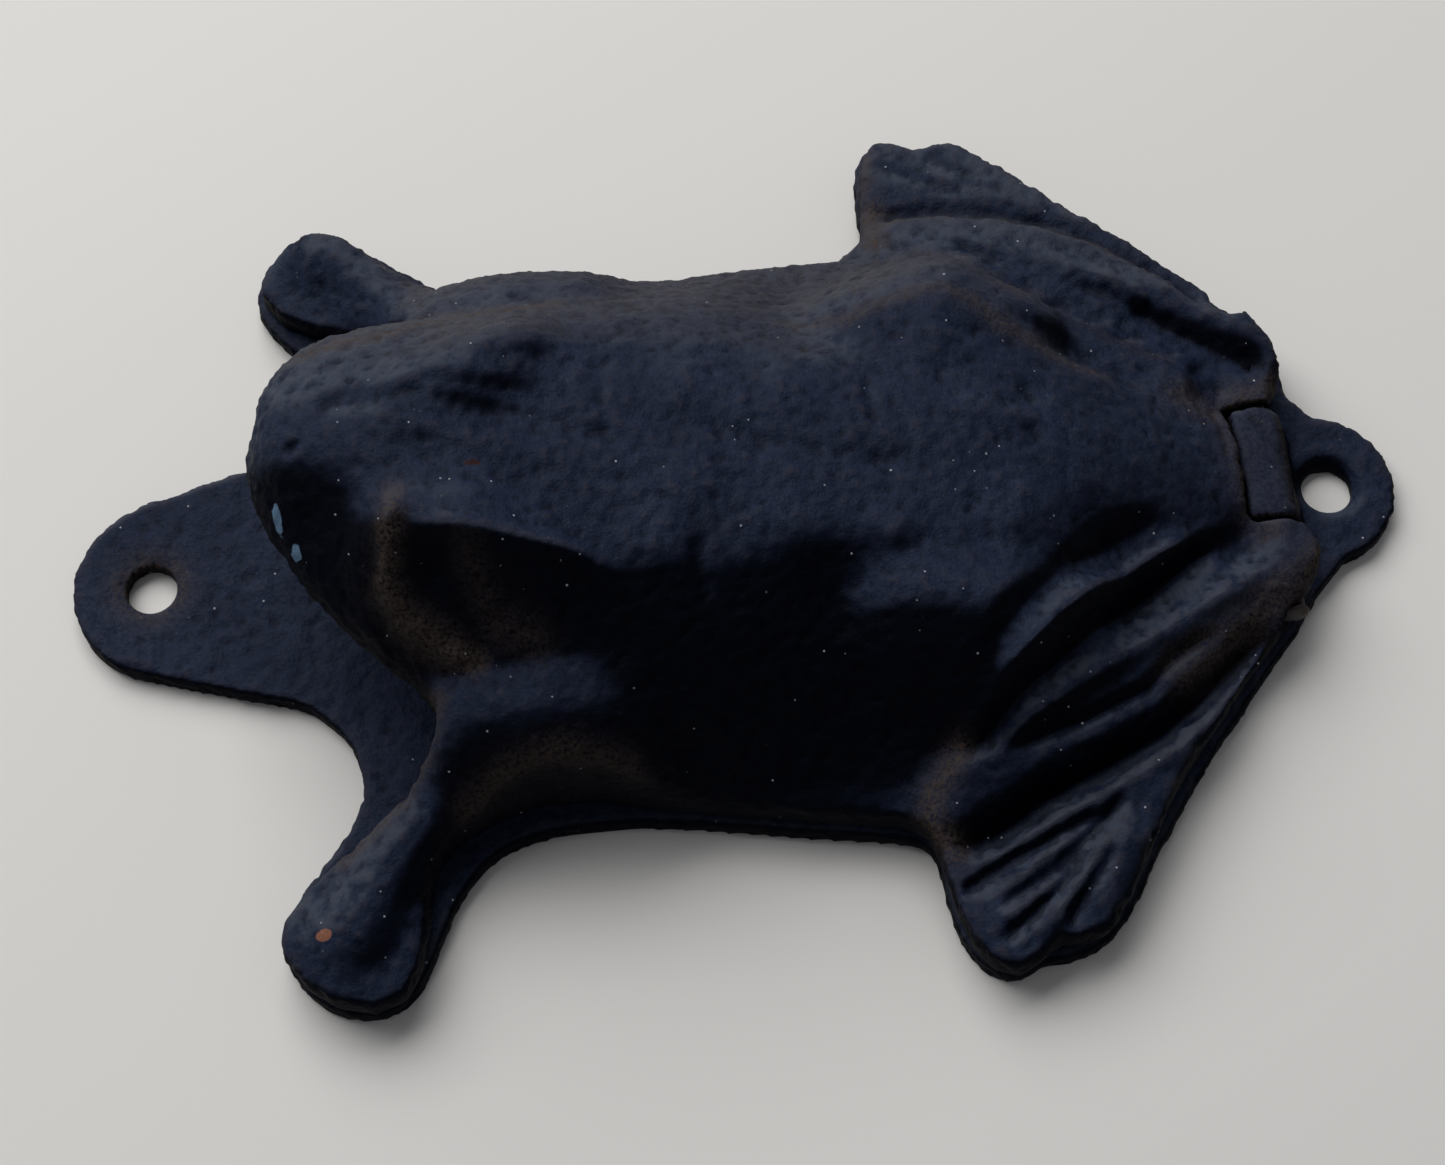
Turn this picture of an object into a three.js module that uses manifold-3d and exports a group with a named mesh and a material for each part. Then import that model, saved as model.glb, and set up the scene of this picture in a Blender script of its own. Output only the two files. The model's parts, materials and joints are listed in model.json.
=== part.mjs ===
// Cast-iron frog door knocker: a hollow frog casting hinged at its ankles to a frog-shaped back plate.
// Millimetres. X runs from the frog's head (-) to its tail (+), Y across it, +Z out of the door.
// The origin is on the back plate's rear face, midway between the two screw holes.

import * as THREE from 'three';
import { mergeVertices } from 'three/addons/utils/BufferGeometryUtils.js';
import Module from 'manifold-3d';

// Back plate
const PLATE_THICKNESS = 3;
const HEAD_HOLE = { x: -72, y: 1.6 };
const TAIL_HOLE = { x: 72, y: 0 };
const SCREW_HOLE_RADIUS = 3.1;
const COUNTERSINK_RADIUS = 4.5;
const COUNTERSINK_DEPTH = 1.3;
const HEAD_TAB = { x: -69.8, y: 1.6, radius: 11.7, from: Math.PI * 0.58, to: Math.PI * 1.42 };
const TAIL_TAB = { x: 70.3, y: 0, radius: 9.9, from: -Math.PI * 0.44, to: Math.PI * 0.44 };
const TAB_SEGMENTS = 14;
const HOLE_SIDES = 24;

// Hinge: the plate's lug stands between the frog's ankles
const PIN_X = 63.4;
const PIN_Z = 6.7;
const PIN_RADIUS = 1.6;
const PIN_NEAR_END = -18.6;
const PIN_FAR_END = 21.6;
const PIN_HEAD_RADIUS = 2.2;
const PIN_HEAD_HEIGHT = 0.9;
const PIN_DOME_RADIUS = 1.5;
const PIN_DOME_HEIGHT = 0.22;
const PIN_SIDES = 20;
const LUG_RADIUS = 3.3;
const LUG_NEAR_Y = -6.5;
const LUG_FAR_Y = 8.5;
const LUG_FOOT_X = 67.8;
const LUG_BACK_ANGLE = Math.PI / 6;
const LUG_CREST_X = 60.4;
const LUG_CREST_Z = 10.3;
const LUG_ROOM_LENGTH = 20;
const ANKLE_RADIUS = 3.4;
const OPEN_ANGLE = THREE.MathUtils.degToRad(65);
const HEEL_DISTANCE = 3.58;
const SWING_REACH = 12;
const CLEARANCE = 0.3;

// Frog casting
const RIM_Z = PLATE_THICKNESS + CLEARANCE;
const EDGE_TOP_Z = 6.4;
const WALL = 4;
const BLEND = 1.6;
const ABOVE_FROG_Z = 50;
const BELOW_FROG_Z = -6;
const CHIN_HALF_WIDTH = 22.6;
const CAVITY_END_X = 55.6;
const CAVITY_END_SLOPE = 3;
const FLANK_START = 0.8;
const BLOCK_LENGTH = 130;
const BLOCK_WIDTH = 116;
const BLOCK_CENTRE_X = 5;
const OUTER_STEP = 2.6;
const INNER_STEP = 4;

// Colours
const NAVY = 0x1b2440;
const NAVY_WORN = 0x232a3d;
const STEEL = 0x6d6a66;

// The plate's edge between its two round tabs, near side (-Y) then far side (+Y), head to tail and back
const PLATE_NEAR_EDGE = [
  [-62, -13.2], [-55, -15.3], [-51.4, -18], [-49, -21.2], [-47.8, -26.6], [-49.6, -31.6],
  [-53.6, -36.5], [-57.2, -41.4], [-58, -44.6], [-56.4, -49.4], [-52.4, -53.2], [-47.6, -54.2],
  [-43.4, -52.4], [-41, -48.4], [-39, -44], [-36.3, -39.8], [-32.6, -36.4], [-26.7, -34.6], [-18.4, -34.3],
  [-9.2, -35.4], [2.3, -37.6], [13.8, -39.6], [17.4, -41.4], [18.2, -46.2], [19.4, -52.6], [22.2, -56.5],
  [25.4, -57.3], [28.4, -56], [31.4, -55.9], [35.8, -54.4], [39.6, -50.4], [43.1, -44.9], [50.5, -35],
  [56, -28.2], [64.2, -19.2], [67.6, -14.6],
];
const PLATE_FAR_EDGE = [
  [69.2, 12.6], [68.8, 17.6], [66, 23.6], [59.2, 30.4], [51.2, 37.2], [44.4, 42.6], [40.4, 45.6],
  [37.2, 49.6], [33.8, 52.6], [30.6, 53.8], [27.4, 53.4], [24, 54.8], [21.2, 53.8], [19.8, 50.4],
  [19.4, 45], [19.8, 41], [18.2, 37.6], [13.8, 36.4], [2.3, 35.5], [-9.2, 34.2], [-18.4, 33.6],
  [-26.7, 34.6], [-32.6, 37.8], [-37, 41], [-41.8, 44.8], [-46.6, 47.4], [-50.6, 48], [-54.4, 46.8],
  [-57, 43.8], [-57.8, 40.6], [-57, 37], [-53.6, 32.6], [-50, 29], [-48.4, 25.4], [-49.4, 21.4],
  [-52, 19.2], [-57.6, 17.1], [-63, 15.5],
];

// The frog's rim seen from the front of the door, snout round the near side to the ankle, then the far side
const FROG_NEAR_EDGE = [
  [-57, 3.2], [-56, -1], [-53.8, -5], [-50.8, -10], [-47.5, -14.2], [-43.4, -18], [-38.8, -21.6],
  [-37.2, -24.2], [-38.6, -27.2], [-42.4, -30.8], [-50, -36.6], [-55.6, -40.8], [-57.8, -44.2],
  [-57, -48.2], [-54.2, -51.9], [-50.4, -53.9], [-46.4, -54.4], [-43.2, -52.4], [-41.6, -48.4],
  [-40.8, -44.2], [-40.2, -40.2], [-38.4, -36.8], [-35.4, -34.6], [-30.4, -32.5], [-23.7, -31.2],
  [-16.8, -33], [-9, -34.7], [2.4, -36.7], [11.4, -38.5], [15.8, -39.2], [17.8, -43.2], [18.5, -47.8],
  [19.7, -52.6], [21.4, -56], [24.2, -57.8], [27, -57], [29.1, -54.8], [32, -55.1], [35.2, -54.2],
  [38, -51.6], [44.8, -39.7], [54.8, -27.8], [63.4, -18.4], [66.2, -15], [67.8, -12.2], [68, -9.8],
  [66.8, -7.6], [64.6, -6.2],
];
const FROG_FAR_EDGE = [
  [64.6, 8.2], [66.4, 10.4], [67.8, 13.6], [67.8, 17.6], [64.6, 22.6], [57, 30], [51, 35.6], [44.2, 41],
  [38.2, 46.4], [35.2, 49.8], [32.2, 51.8], [29.8, 52], [27.4, 51.2], [24.4, 53], [21.4, 52.6],
  [20, 49.6], [19.2, 45.2], [19.4, 41], [17.6, 36.2], [13, 34.9], [2.4, 34], [-9, 33.1], [-17, 32.1],
  [-24, 31.8], [-30.6, 33.4], [-36, 36.4], [-40.6, 40.4], [-44.6, 43.6], [-48.6, 45.2], [-52.6, 45],
  [-55.8, 42.8], [-57, 39.8], [-55.4, 36.2], [-50.6, 33.4], [-44.4, 30.6], [-39.6, 27.8], [-38, 25],
  [-39.8, 22.6], [-44.6, 21.6], [-49.4, 19.4], [-52.8, 16], [-55.6, 11.4], [-57, 7.4],
];

// Body cross-sections: x, then centre y, crest z, half width of the flat back, fall of the back to its
// shoulders, half width at the flank's foot, z of the flank's foot, fullness of the flank
const BODY_SECTIONS = [
  [-58, 3.2, 22, 1.5, 0.5, 3.5, 20, 2],
  [-56, 4.2, 28.6, 3.8, 1, 9.4, 21.5, 2],
  [-53, 4.4, 32.4, 6.4, 1.4, 14.3, 22, 2.2],
  [-49, 4.3, 34.2, 8.4, 1.6, 17.9, 21.5, 2.2],
  [-44, 3.3, 34.8, 9.9, 1.8, 21.2, 19.5, 2.1],
  [-38, 2.7, 34.6, 11.2, 2, 24.8, 14, 2.1],
  [-32, 1.8, 33.8, 12.5, 2.2, 28.8, 7, 2],
  [-24, 1, 32.6, 14.5, 2.2, 32.5, 6, 1.9],
  [-14, 0.6, 31, 16, 2.4, 34, 6, 1.8],
  [-2, 0.2, 29.2, 16.5, 2.6, 35.8, 6, 1.6],
  [10, 0, 27.6, 14.5, 2.6, 37.6, 6, 1.15],
  [18, 0, 26.6, 15, 2.4, 36, 6, 1.3],
  [28, 0, 24.8, 16, 2.2, 28, 6, 1.7],
  [38, 0, 21.4, 13.5, 2, 20.5, 7, 1.7],
  [47, 0, 17, 11, 1.8, 15.5, 7, 1.6],
  [56, 0, 12.2, 8, 1.4, 11.5, 6.5, 1.5],
  [66, 0, 8.6, 6, 1, 9, 6, 1.5],
];

// Ridges: points of x, y, top z and half width. The far side mirrors those that both sides share.
const BROW = [[-39, -7, 36, 6], [-32, -9, 36, 6.5], [-25, -12, 33.6, 6]];
const SHOULDER = [[-33, -24, 21.6, 9.5], [-26, -24.6, 22.6, 10], [-18.5, -24, 22.4, 10.5]];
const FRONT_LEG = [
  [-29, -25, 17.5, 9], [-35.6, -29.6, 13.5, 7], [-41, -34.4, 11.6, 6.6], [-45.8, -39.6, 10.6, 7],
  [-49.6, -45.8, 10, 8.4],
];
const HIP = [[17, -17, 25.6, 9], [25, -19, 25.2, 9.5], [33, -17, 22.4, 8]];
const NEAR_THIGH = [
  [52.6, -10.6, 13.6, 4.8], [46, -13.4, 14.6, 5.4], [39.6, -17.4, 15, 5.8], [33.2, -21.8, 14.6, 6],
  [26.6, -27.4, 13.4, 6], [21, -33.4, 11.6, 5.4],
];
const NEAR_SHIN = [
  [67.4, -11.2, 9.4, 4.4], [62, -13.6, 10.8, 6], [51.6, -18.8, 11.6, 7.5], [44.8, -22.8, 12, 8.2],
  [38.4, -26.4, 12.2, 8.6], [32, -30, 12, 8.4], [25.8, -33.4, 11.4, 7.6], [19.8, -37.6, 10.2, 6.2],
];
const NEAR_FOOT = [
  [58.4, -22.6, 7.4, 3.5], [49.6, -31, 8.4, 5], [43, -36.6, 8.6, 7], [34, -43.6, 8.4, 10],
  [27.4, -49.6, 8, 9],
];
const FAR_THIGH = [
  [53, 11.6, 13.2, 5], [45, 15.4, 14.4, 5.6], [38.4, 19.6, 15, 6], [32, 24, 14.6, 6],
  [26, 28.4, 13.4, 5.6],
];
const FAR_SHIN = [
  [65.4, 14.8, 10.2, 5], [58, 19.2, 11, 6.6], [52.6, 23.4, 11.2, 7.2], [47, 27.2, 11.4, 7.6],
  [41.3, 30.6, 11.4, 8], [35.4, 33.2, 11.2, 8], [28.2, 35, 10.8, 7.6], [22.6, 36.2, 9.8, 6],
];
const FAR_FOOT = [
  [57, 28, 6.8, 3], [49.4, 35, 7.4, 4.6], [40.6, 41.6, 7.8, 7.5], [30.6, 47, 7.8, 10], [26, 48.4, 7.6, 9],
];

// The ankles' bosses round the pin, on both sides of the plate's lug
const NEAR_ANKLE = [[63.6, -17.8, 9.8, 4.8], [63.4, -4, 10.2, 4.8]];
const FAR_ANKLE = [[63.4, 6, 10.2, 4.8], [63.6, 20.8, 9.8, 4.8]];

// The flat slope of the near cheek, below the top of the head: an oval hollow turned from X
const NEAR_CHEEK = { x: -48, y: -6.5, depth: 3.4, halfLength: 9, halfWidth: 4.5, turn: -Math.PI / 4 };

function mirrorRidge(points) {
  return points.map(([x, y, top, halfWidth]) => [x, -y, top, halfWidth]);
}

// How far each ridge's surface falls from its top to its half width
const SHARED_RIDGES = [
  { points: BROW, fall: 5 },
  { points: SHOULDER, fall: 9 },
  { points: HIP, fall: 7 },
  { points: FRONT_LEG, fall: 9 },
];
const RIDGES = [
  ...SHARED_RIDGES,
  ...SHARED_RIDGES.map(({ points, fall }) => ({ points: mirrorRidge(points), fall })),
  { points: NEAR_THIGH, fall: 7 },
  { points: NEAR_SHIN, fall: 7 },
  { points: NEAR_FOOT, fall: 3.4 },
  { points: FAR_THIGH, fall: 6 },
  { points: FAR_SHIN, fall: 7 },
  { points: FAR_FOOT, fall: 3 },
  { points: NEAR_ANKLE, fall: 6 },
  { points: FAR_ANKLE, fall: 6 },
];

// The chin arch seen from the side: the frog's rim leaves the plate at the front legs and rises to the snout
const CHIN_ARCH = [[-33.5, RIM_Z], [-36, 8.5], [-39, 13.2], [-44, 17.4], [-50, 20.2], [-58, 21.4]];

const wasm = await Module();
wasm.setup();

// Turns a closed geometry into a solid that can be joined and cut
function toSolid(geometry) {
  const bare = geometry.clone();
  bare.deleteAttribute('normal');
  bare.deleteAttribute('uv');
  const merged = mergeVertices(bare, 1e-5);
  return new wasm.Manifold(new wasm.Mesh({
    numProp: 3,
    vertProperties: new Float32Array(merged.attributes.position.array),
    triVerts: new Uint32Array(merged.index.array),
  }));
}

function toGeometry(solid) {
  const mesh = solid.getMesh();
  const geometry = new THREE.BufferGeometry();
  geometry.setAttribute('position', new THREE.BufferAttribute(new Float32Array(mesh.vertProperties), 3));
  geometry.setIndex(new THREE.BufferAttribute(new Uint32Array(mesh.triVerts), 1));
  geometry.computeVertexNormals();
  return geometry;
}

function toPoints(pairs) {
  return pairs.map(([x, y]) => new THREE.Vector2(x, y));
}

// The round end of a tab
function addTab(outline, tab) {
  const arc = new THREE.EllipseCurve(tab.x, tab.y, tab.radius, tab.radius, tab.from, tab.to);
  for (const point of arc.getPoints(TAB_SEGMENTS)) {
    outline.lineTo(point.x, point.y);
  }
}

// A closed outline through two lists of points, with a sharp corner or an arc where they meet
function smoothOutline(nearEdge, farEdge, tabs) {
  const outline = new THREE.Shape();
  outline.moveTo(...nearEdge[0]);
  outline.splineThru(toPoints(nearEdge.slice(1)));
  if (tabs) {
    addTab(outline, TAIL_TAB);
  }
  outline.lineTo(...farEdge[0]);
  outline.splineThru(toPoints(farEdge.slice(1)));
  if (tabs) {
    addTab(outline, HEAD_TAB);
  }
  return outline;
}

function extrudeUp(outline, lowZ, highZ, curveSegments) {
  const geometry = new THREE.ExtrudeGeometry(outline, {
    depth: highZ - lowZ,
    bevelEnabled: false,
    steps: 1,
    curveSegments,
  });
  return geometry.translate(0, 0, lowZ);
}

// Extrudes an outline drawn in X and Z along Y
function extrudeAcross(outline, startY, endY, curveSegments) {
  const geometry = new THREE.ExtrudeGeometry(outline, {
    depth: endY - startY,
    bevelEnabled: false,
    steps: 1,
    curveSegments,
  });
  return geometry.rotateX(Math.PI / 2).translate(0, endY, 0);
}

// A round cutter along the hinge axis
function hingeCutter(radius, startY, endY) {
  const geometry = new THREE.CylinderGeometry(radius, radius, endY - startY, PIN_SIDES);
  return toSolid(geometry.translate(PIN_X, (startY + endY) / 2, PIN_Z));
}

const sectionCurve = new THREE.CubicInterpolant(
  BODY_SECTIONS.map((section) => section[0]),
  BODY_SECTIONS.flatMap((section) => section.slice(1)),
  BODY_SECTIONS[0].length - 1,
);

function hollowDepth(x, y, hollow) {
  const offset = new THREE.Vector2(x - hollow.x, y - hollow.y).rotateAround(new THREE.Vector2(), -hollow.turn);
  return hollow.depth * Math.exp(-((offset.x / hollow.halfLength) ** 2) - (offset.y / hollow.halfWidth) ** 2);
}

// Height of the frog's body without its limbs, with every wall moved inwards by the inset
function bodyHeight(x, y, inset) {
  const firstX = BODY_SECTIONS[0][0];
  const lastX = BODY_SECTIONS[BODY_SECTIONS.length - 1][0];
  const section = sectionCurve.evaluate(THREE.MathUtils.clamp(x, firstX, lastX));
  const [centre, crest, backWidth, backFall, footWidth, footZ, fullness] = section;
  const across = Math.abs(y - centre);
  const back = crest - inset - backFall * Math.min(1, across / backWidth) ** 2;
  const flankSpan = Math.max(1, footWidth - inset - backWidth * FLANK_START);
  const flank = Math.max(0, across - backWidth * FLANK_START) / flankSpan;
  const flankFall = (crest - backFall - Math.max(footZ - inset, 0)) * flank ** fullness;
  return back - flankFall - hollowDepth(x, y, NEAR_CHEEK);
}

// Height of a rounded ridge that follows a line of points
function ridgeHeight(x, y, ridge) {
  let height = BELOW_FROG_Z;
  for (let i = 0; i < ridge.points.length - 1; i += 1) {
    const [ax, ay, az, ar] = ridge.points[i];
    const [bx, by, bz, br] = ridge.points[i + 1];
    const lengthSquared = (bx - ax) ** 2 + (by - ay) ** 2;
    const along = THREE.MathUtils.clamp(((x - ax) * (bx - ax) + (y - ay) * (by - ay)) / lengthSquared, 0, 1);
    const distance = Math.hypot(x - ax - along * (bx - ax), y - ay - along * (by - ay));
    const top = az + along * (bz - az);
    const radius = ar + along * (br - ar);
    height = Math.max(height, top - ridge.fall * (distance / radius) ** 2);
  }
  return height;
}

function smoothMax(a, b) {
  return (a + b + Math.hypot(a - b, BLEND)) / 2;
}

function frogHeight(x, y) {
  let height = smoothMax(EDGE_TOP_Z, bodyHeight(x, y, 0));
  for (const ridge of RIDGES) {
    height = smoothMax(height, ridgeHeight(x, y, ridge));
  }
  return height;
}

// The hollow inside, closed by a sloping wall in front of the hinge
function cavityHeight(x, y) {
  return Math.min(bodyHeight(x, y, WALL), (CAVITY_END_X - x) * CAVITY_END_SLOPE);
}

// A block whose top follows a height function
function heightBlock(heightAt, step) {
  const columns = Math.round(BLOCK_LENGTH / step);
  const rows = Math.round(BLOCK_WIDTH / step);
  const block = new THREE.BoxGeometry(BLOCK_LENGTH, BLOCK_WIDTH, 2, columns, rows, 1);
  block.translate(BLOCK_CENTRE_X, 0, 0);
  const position = block.attributes.position;
  for (let i = 0; i < position.count; i += 1) {
    const top = Math.max(heightAt(position.getX(i), position.getY(i)), BELOW_FROG_Z + 1);
    position.setZ(i, position.getZ(i) > 0 ? top : BELOW_FROG_Z);
  }
  return toSolid(block);
}

// A low lug whose top carries on the line of the rump and rounds down to the tail tab
function makeLug() {
  const profile = new THREE.Shape();
  profile.moveTo(PIN_X - LUG_RADIUS, PLATE_THICKNESS / 2);
  profile.lineTo(LUG_FOOT_X, PLATE_THICKNESS / 2);
  profile.lineTo(LUG_FOOT_X, PLATE_THICKNESS);
  profile.lineTo(
    PIN_X + LUG_RADIUS * Math.cos(LUG_BACK_ANGLE),
    PIN_Z + LUG_RADIUS * Math.sin(LUG_BACK_ANGLE),
  );
  profile.absarc(PIN_X, PIN_Z, LUG_RADIUS, LUG_BACK_ANGLE, Math.PI / 2, false);
  profile.lineTo(LUG_CREST_X, LUG_CREST_Z);
  profile.lineTo(PIN_X - LUG_RADIUS, LUG_CREST_Z - CLEARANCE);
  const lug = toSolid(extrudeAcross(profile, LUG_NEAR_Y, LUG_FAR_Y, 10));
  return lug.subtract(hingeCutter(PIN_RADIUS + CLEARANCE, LUG_NEAR_Y - 1, LUG_FAR_Y + 1));
}

// A through hole, opening into a countersink at the front face if it has one
function makeScrewHole(place, countersunk) {
  const above = PLATE_THICKNESS + 1;
  const rim = [[SCREW_HOLE_RADIUS, above]];
  if (countersunk) {
    rim[0] = [SCREW_HOLE_RADIUS, PLATE_THICKNESS - COUNTERSINK_DEPTH];
    rim.push([COUNTERSINK_RADIUS, PLATE_THICKNESS], [COUNTERSINK_RADIUS, above]);
  }
  const profile = [[0, -1], [SCREW_HOLE_RADIUS, -1], ...rim, [0, above]];
  const cutter = new THREE.LatheGeometry(toPoints(profile), HOLE_SIDES);
  return toSolid(cutter.rotateX(Math.PI / 2).translate(place.x, place.y, 0));
}

function makeBackPlate() {
  const outline = smoothOutline(PLATE_NEAR_EDGE, PLATE_FAR_EDGE, true);
  const slab = toSolid(extrudeUp(outline, 0, PLATE_THICKNESS, 2));
  const headHole = makeScrewHole(HEAD_HOLE, false);
  const tailHole = makeScrewHole(TAIL_HOLE, true);
  return toGeometry(slab.add(makeLug()).subtract(headHole).subtract(tailHole));
}

// What the ankles must leave free behind the pin: a round heel that turns clear of the plate, and a flat
// that meets the plate when the frog is fully lifted
function makeSwingCut() {
  const heelAngle = OPEN_ANGLE - Math.PI / 2;
  const heelX = PIN_X + HEEL_DISTANCE * Math.cos(heelAngle);
  const heelZ = PIN_Z + HEEL_DISTANCE * Math.sin(heelAngle);
  const profile = new THREE.Shape();
  profile.moveTo(PIN_X, BELOW_FROG_Z);
  profile.lineTo(PIN_X, PIN_Z - ANKLE_RADIUS);
  profile.absarc(PIN_X, PIN_Z, ANKLE_RADIUS, -Math.PI / 2, heelAngle, false);
  profile.lineTo(heelX, heelZ);
  const topZ = heelZ + SWING_REACH * Math.sin(OPEN_ANGLE);
  profile.lineTo(heelX + SWING_REACH * Math.cos(OPEN_ANGLE), topZ);
  profile.lineTo(PIN_X + SWING_REACH, topZ);
  profile.lineTo(PIN_X + SWING_REACH, BELOW_FROG_Z);
  return toSolid(extrudeAcross(profile, -BLOCK_WIDTH / 2, BLOCK_WIDTH / 2, 6));
}

function makeChinCut() {
  const profile = new THREE.Shape();
  const snoutX = BODY_SECTIONS[0][0] - WALL;
  const lowZ = RIM_Z - CLEARANCE;
  profile.moveTo(...CHIN_ARCH[0]);
  profile.splineThru(toPoints(CHIN_ARCH.slice(1)));
  profile.lineTo(snoutX, CHIN_ARCH[CHIN_ARCH.length - 1][1]);
  profile.lineTo(snoutX, lowZ);
  profile.lineTo(CHIN_ARCH[0][0], lowZ);
  return toSolid(extrudeAcross(profile, -CHIN_HALF_WIDTH, CHIN_HALF_WIDTH, 3));
}

// Room for the lug: open above and behind it, and round in front, where the lug's crest turns past
function makeLugRoom() {
  const depth = ABOVE_FROG_Z - BELOW_FROG_Z;
  const startY = LUG_NEAR_Y - CLEARANCE;
  const endY = LUG_FAR_Y + CLEARANCE;
  const frontX = PIN_X - LUG_RADIUS - CLEARANCE;
  const room = new THREE.BoxGeometry(LUG_ROOM_LENGTH, endY - startY, depth);
  room.translate(frontX + LUG_ROOM_LENGTH / 2, (startY + endY) / 2, BELOW_FROG_Z + depth / 2);
  const crestRadius = Math.hypot(LUG_CREST_X - PIN_X, LUG_CREST_Z - PIN_Z);
  return toSolid(room).add(hingeCutter(crestRadius + CLEARANCE, startY, endY));
}

function makeFrog() {
  const outline = smoothOutline(FROG_NEAR_EDGE, FROG_FAR_EDGE, false);
  const footprint = toSolid(extrudeUp(outline, RIM_Z, ABOVE_FROG_Z, 1));
  const nearHeadY = PIN_NEAR_END + PIN_HEAD_HEIGHT + CLEARANCE;
  const farHeadY = PIN_FAR_END - PIN_HEAD_HEIGHT - CLEARANCE;
  const cuts = [
    heightBlock(cavityHeight, INNER_STEP),
    makeChinCut(),
    makeLugRoom(),
    makeSwingCut(),
    hingeCutter(PIN_RADIUS + CLEARANCE, PIN_NEAR_END, PIN_FAR_END),
    hingeCutter(PIN_HEAD_RADIUS + CLEARANCE, -BLOCK_WIDTH / 2, nearHeadY),
    hingeCutter(PIN_HEAD_RADIUS + CLEARANCE, farHeadY, BLOCK_WIDTH / 2),
  ];
  let frog = heightBlock(frogHeight, OUTER_STEP).intersect(footprint);
  for (const cut of cuts) {
    frog = frog.subtract(cut);
  }
  return toGeometry(frog);
}

// A plain steel pin, hammered over into a low dome at each end
function makePin() {
  const profile = [
    [0, PIN_NEAR_END], [PIN_DOME_RADIUS, PIN_NEAR_END + PIN_DOME_HEIGHT],
    [PIN_HEAD_RADIUS, PIN_NEAR_END + PIN_HEAD_HEIGHT], [PIN_RADIUS, PIN_NEAR_END + PIN_HEAD_HEIGHT],
    [PIN_RADIUS, PIN_FAR_END - PIN_HEAD_HEIGHT], [PIN_HEAD_RADIUS, PIN_FAR_END - PIN_HEAD_HEIGHT],
    [PIN_DOME_RADIUS, PIN_FAR_END - PIN_DOME_HEIGHT], [0, PIN_FAR_END],
  ];
  const geometry = new THREE.LatheGeometry(toPoints(profile), PIN_SIDES);
  return geometry.translate(PIN_X, 0, PIN_Z);
}

function addNode(group, name, geometry, color, roughness, metalness) {
  const mesh = new THREE.Mesh(geometry, new THREE.MeshStandardMaterial({ color, roughness, metalness }));
  mesh.name = name;
  group.add(mesh);
}

const knocker = new THREE.Group();
addNode(knocker, 'back_plate', makeBackPlate(), NAVY_WORN, 0.55, 0.1);
addNode(knocker, 'frog_casting', makeFrog(), NAVY, 0.45, 0.1);
addNode(knocker, 'hinge_pin', makePin(), STEEL, 0.5, 0.8);

export default knocker;
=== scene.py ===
"""Cast-iron frog door knocker: the visual model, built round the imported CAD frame.

The back plate and the hollow frog are remeshed from their CAD solids, smoothed, then sculpted with the
creases, toes, brows, warts and cast roughness of the real castings. Metres, in the CAD frame; feature
positions are in millimetres and are scaled by MM.
"""
import json
import math

import bpy
import numpy as np
from mathutils import Matrix, Vector, noise


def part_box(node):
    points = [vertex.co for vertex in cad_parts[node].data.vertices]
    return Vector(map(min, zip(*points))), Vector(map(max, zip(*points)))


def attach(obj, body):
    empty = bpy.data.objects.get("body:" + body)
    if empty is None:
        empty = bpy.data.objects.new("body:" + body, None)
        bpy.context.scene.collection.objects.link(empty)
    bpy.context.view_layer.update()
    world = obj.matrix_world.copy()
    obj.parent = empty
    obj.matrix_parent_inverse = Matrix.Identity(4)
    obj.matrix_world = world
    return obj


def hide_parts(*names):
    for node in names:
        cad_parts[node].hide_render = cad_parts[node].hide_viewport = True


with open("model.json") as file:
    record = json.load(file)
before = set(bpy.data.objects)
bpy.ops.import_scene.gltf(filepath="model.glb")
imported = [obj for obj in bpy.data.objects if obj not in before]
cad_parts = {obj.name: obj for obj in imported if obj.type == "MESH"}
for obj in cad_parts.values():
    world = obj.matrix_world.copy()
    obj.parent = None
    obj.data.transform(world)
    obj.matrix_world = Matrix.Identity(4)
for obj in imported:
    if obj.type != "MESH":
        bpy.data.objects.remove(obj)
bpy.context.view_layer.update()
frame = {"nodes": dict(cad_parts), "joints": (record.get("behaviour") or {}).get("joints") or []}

MM = 0.001

# Places taken from the frame
PLATE_LOW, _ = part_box("back_plate")
FROG_LOW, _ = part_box("frog_casting")
PIN_LOW, PIN_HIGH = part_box("hinge_pin")
HINGE = Vector(frame["joints"][0]["pos_m"])
RIM_Z = FROG_LOW.z / MM
HINGE_X = HINGE.x / MM
HINGE_Z = HINGE.z / MM

# Holes in the plate, the pin's shank and the middle of the lug, in mm
HEAD_HOLE = (-72, 1.6)
TAIL_HOLE = (72, 0)
HOLE_RADIUS = 3.1
COUNTERSINK_RADIUS = 4.5
PIN_RADIUS = 1.6
LUG_CENTRE_Y = 1

# Camera
CAMERA_PLACE = Vector((-17.1, -144.0, 310.9)) * MM
CAMERA_AIM = Vector((-3.15, -3.75, 0.0)) * MM
CAMERA_ROLL = math.radians(-0.41)
CAMERA_LENS = 69.76
SENSOR_WIDTH = 36.0

# Remeshing
VOXEL = 0.45 * MM
FROG_SMOOTH_STEPS = 28
PLATE_SMOOTH_STEPS = 6


# ---------------------------------------------------------------- mesh helpers

def remeshed_copy(node, name, voxel):
    """A new object with a CAD node's shape in even quads."""
    piece = bpy.data.objects.new(name, frame["nodes"][node].data.copy())
    bpy.context.scene.collection.objects.link(piece)
    modifier = piece.modifiers.new("voxels", "REMESH")
    modifier.mode = "VOXEL"
    modifier.voxel_size = voxel
    depsgraph = bpy.context.evaluated_depsgraph_get()
    fine = bpy.data.meshes.new_from_object(piece.evaluated_get(depsgraph))
    piece.modifiers.clear()
    piece.data = fine
    piece.data.materials.clear()
    return piece


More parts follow.
